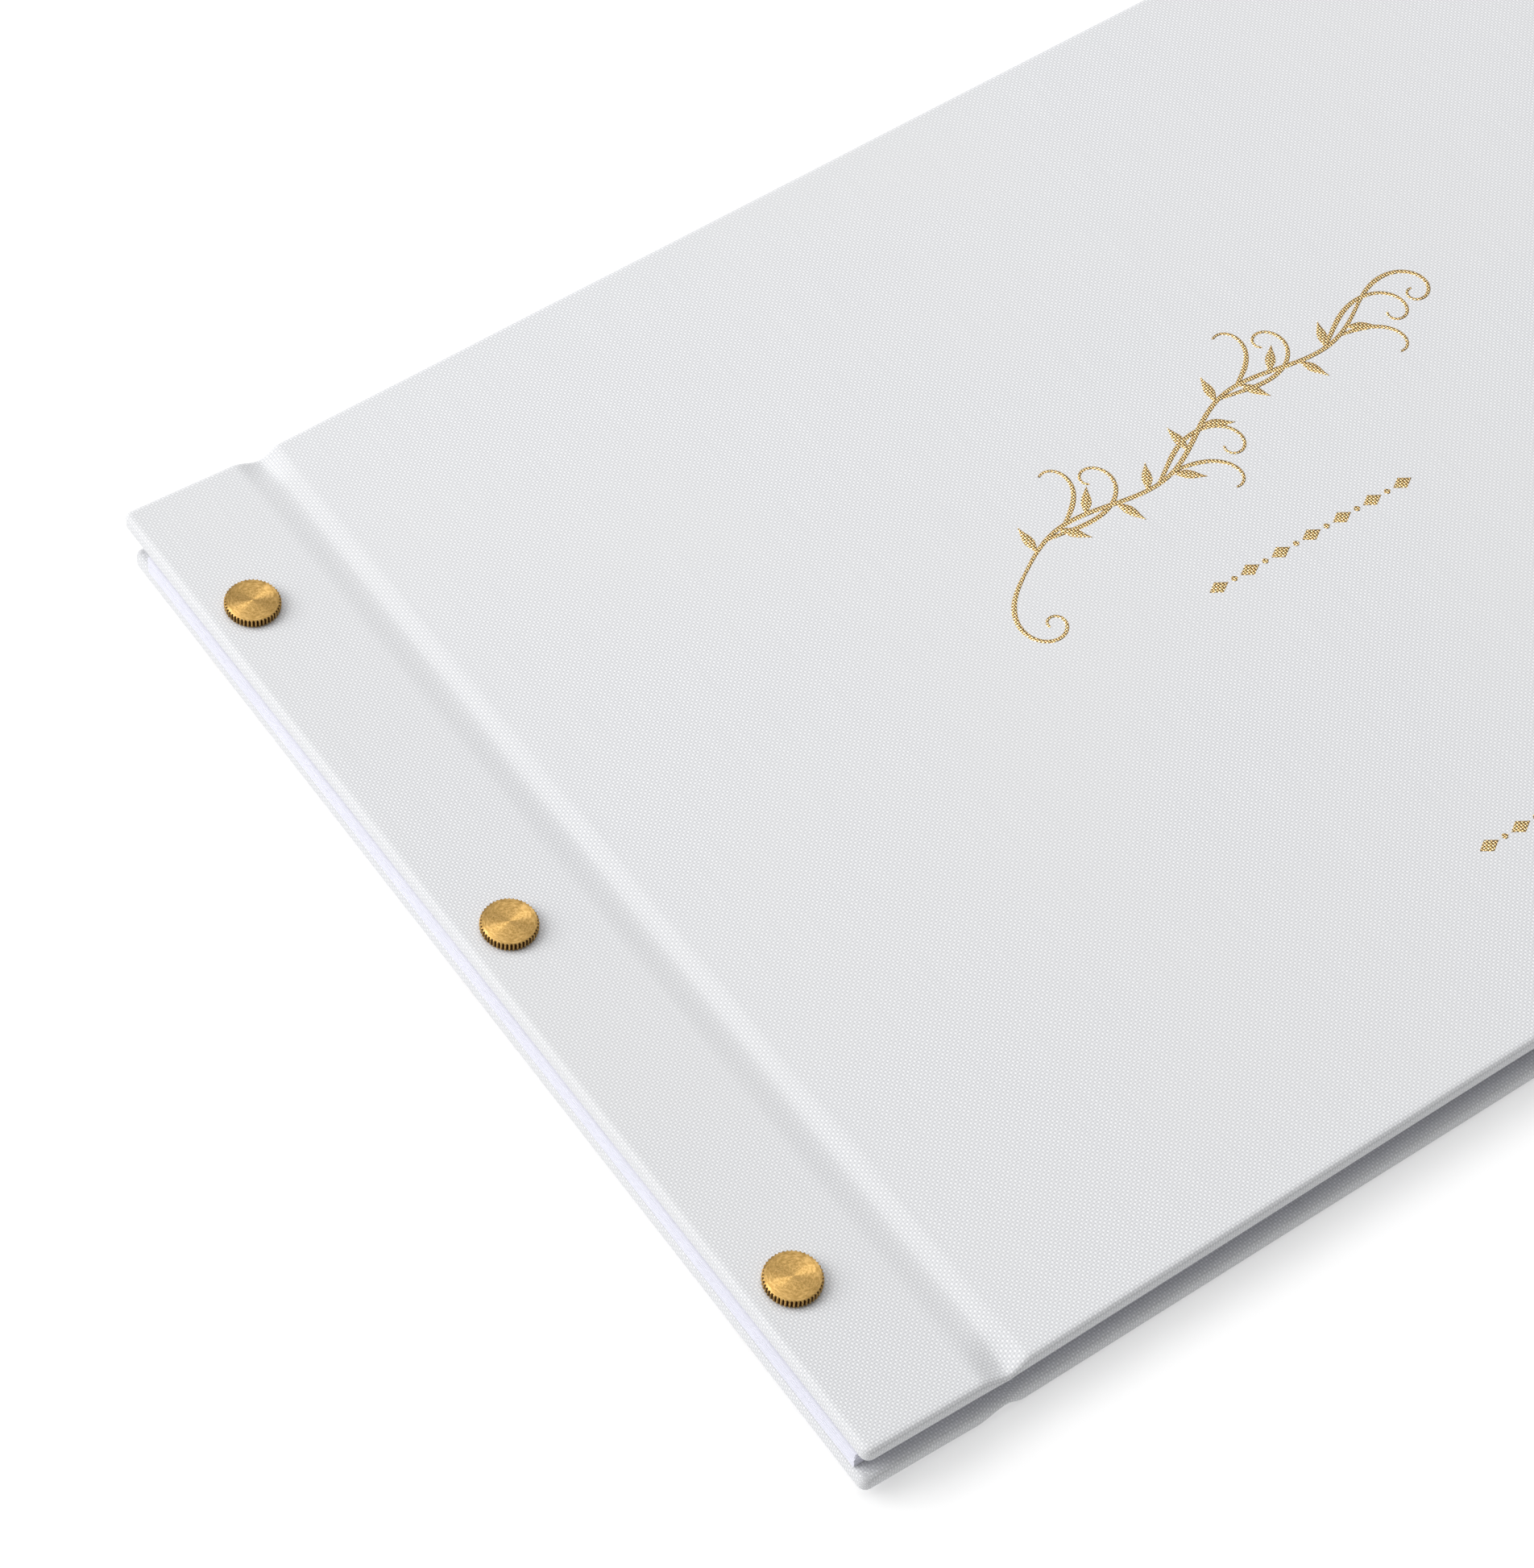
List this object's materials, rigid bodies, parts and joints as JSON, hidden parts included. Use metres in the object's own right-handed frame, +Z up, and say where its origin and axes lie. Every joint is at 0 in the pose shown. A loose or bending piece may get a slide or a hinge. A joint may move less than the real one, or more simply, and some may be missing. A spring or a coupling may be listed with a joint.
{
  "type": "screw-post guest book",
  "caption": "Landscape guest book with cloth-covered boards, fold-back covers and loose leaves held by knurled brass binding screws.",
  "frame": {"origin": "centre of the closed book's footprint, on the surface it lies on", "axes": "+X from the spine edge to the fore-edge, +Y from tail to head, +Z up out of the front cover"},
  "size_m": [0.3032, 0.2226, 0.0143],
  "materials": {
    "linen": "matt plain-weave book linen",
    "board": "unsealed grey board",
    "lining": "matt paper",
    "page": "matt uncoated paper",
    "brass": "lathe-turned, straight-knurled rim"
  },
  "bodies": {
    "binding": {"front_strip_cloth": "linen", "front_strip_board": "board", "front_strip_lining": "lining", "back_strip_cloth": "linen", "back_strip_board": "board", "back_strip_lining": "lining", "page_margin_1": "page", "page_margin_2": "page", "page_margin_3": "page", "page_margin_4": "page", "page_margin_5": "page", "page_margin_6": "page", "binding_post_1": "brass", "binding_post_2": "brass", "binding_post_3": "brass"},
    "front_cover": {"front_cover_cloth": "linen", "front_cover_board": "board", "front_cover_lining": "lining"},
    "back_cover": {"back_cover_cloth": "linen", "back_cover_board": "board", "back_cover_lining": "lining"},
    "leaf_1": {"page_leaf_1": "page"},
    "leaf_2": {"page_leaf_2": "page"},
    "leaf_3": {"page_leaf_3": "page"},
    "leaf_4": {"page_leaf_4": "page"},
    "leaf_5": {"page_leaf_5": "page"},
    "leaf_6": {"page_leaf_6": "page"},
    "screw_1": {"binding_screw_1": "brass"},
    "screw_2": {"binding_screw_2": "brass"},
    "screw_3": {"binding_screw_3": "brass"}
  },
  "joints": [
    {"name": "front_cover_hinge", "type": "hinge", "parent": "binding", "child": "front_cover", "pos_m": [-0.12372, 0.00084, 0.01176], "axis": [0, -1, 0], "range_deg": [0, 175]},
    {"name": "back_cover_hinge", "type": "hinge", "parent": "binding", "child": "back_cover", "pos_m": [-0.12472, 0.00079, -0.00075], "axis": [0.0026, 1, 0], "range_deg": [0, 175]},
    {"name": "leaf_1_turn", "type": "hinge", "parent": "binding", "child": "leaf_1", "pos_m": [-0.12387, 0.00084, 0.00982], "axis": [0, -1, 0], "range_deg": [0, 110.25]},
    {"name": "leaf_2_turn", "type": "hinge", "parent": "binding", "child": "leaf_2", "pos_m": [-0.12392, 0.00084, 0.00922], "axis": [0, -1, 0], "range_deg": [0, 91.88]},
    {"name": "leaf_3_turn", "type": "hinge", "parent": "binding", "child": "leaf_3", "pos_m": [-0.12397, 0.00084, 0.00862], "axis": [0, -1, 0], "range_deg": [0, 73.5]},
    {"name": "leaf_4_turn", "type": "hinge", "parent": "binding", "child": "leaf_4", "pos_m": [-0.12402, 0.00084, 0.00802], "axis": [0, -1, 0], "range_deg": [0, 55.12]},
    {"name": "leaf_5_turn", "type": "hinge", "parent": "binding", "child": "leaf_5", "pos_m": [-0.12406, 0.00084, 0.00742], "axis": [0, -1, 0], "range_deg": [0, 36.75]},
    {"name": "leaf_6_turn", "type": "hinge", "parent": "binding", "child": "leaf_6", "pos_m": [-0.12411, 0.00084, 0.00683], "axis": [0, -1, 0], "range_deg": [0, 18.38]},
    {"name": "screw_1_turn", "type": "hinge", "parent": "binding", "child": "screw_1", "pos_m": [-0.14325, 0.08143, 0.00149], "axis": [0.0799, 0, 0.9968], "continuous": true},
    {"name": "screw_2_turn", "type": "hinge", "parent": "binding", "child": "screw_2", "pos_m": [-0.14325, 0.00144, 0.00149], "axis": [0.0799, 0, 0.9968], "continuous": true},
    {"name": "screw_3_turn", "type": "hinge", "parent": "binding", "child": "screw_3", "pos_m": [-0.14325, -0.07856, 0.00149], "axis": [0.0799, 0, 0.9968], "continuous": true}
  ],
  "couplings": [
    {"joint": "leaf_1_turn", "follows": "front_cover_hinge", "ratio": 0.63},
    {"joint": "leaf_2_turn", "follows": "front_cover_hinge", "ratio": 0.525},
    {"joint": "leaf_3_turn", "follows": "front_cover_hinge", "ratio": 0.42},
    {"joint": "leaf_4_turn", "follows": "front_cover_hinge", "ratio": 0.315},
    {"joint": "leaf_5_turn", "follows": "front_cover_hinge", "ratio": 0.21},
    {"joint": "leaf_6_turn", "follows": "front_cover_hinge", "ratio": 0.105}
  ]
}
